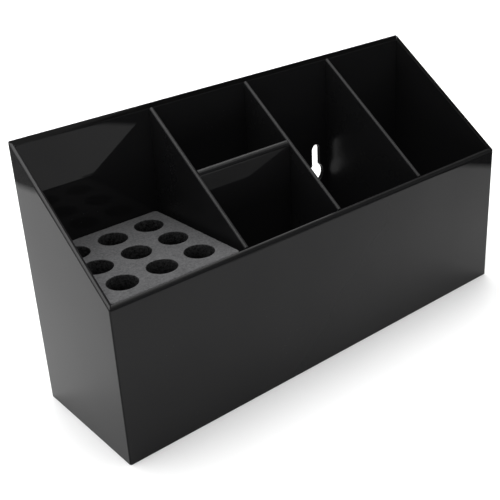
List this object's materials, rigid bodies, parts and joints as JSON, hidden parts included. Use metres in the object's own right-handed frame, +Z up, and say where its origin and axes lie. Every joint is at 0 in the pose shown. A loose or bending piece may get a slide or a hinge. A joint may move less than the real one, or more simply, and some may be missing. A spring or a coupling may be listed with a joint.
{
  "type": "paint rack organizer",
  "caption": "Desk or wall rack for paints and brushes: bonded black sheet panels, a sloping open top, divided bays and a lift-out foam block with round tool sockets.",
  "frame": {"origin": "middle of the footprint, on the surface that the rack stands on", "axes": "+X along the rack towards the end away from the foam block, +Y from its low front to its high back, +Z up"},
  "size_m": [0.32, 0.0914, 0.1695],
  "materials": {
    "black_sheet": "polished black acrylic sheet with polished cut edges",
    "foam": "matt charcoal closed-cell foam with a fine grain"
  },
  "bodies": {
    "rack": {"base_panel": "black_sheet", "front_panel": "black_sheet", "back_panel": "black_sheet", "left_end_panel": "black_sheet", "right_end_panel": "black_sheet", "left_divider": "black_sheet", "centre_divider": "black_sheet", "right_divider": "black_sheet", "cross_divider": "black_sheet"},
    "block": {"foam_block": "foam"}
  },
  "joints": [
    {"name": "block_lift", "type": "slide", "parent": "rack", "child": "block", "axis": [0, 0, 1], "range_m": [0, 0.18]}
  ]
}
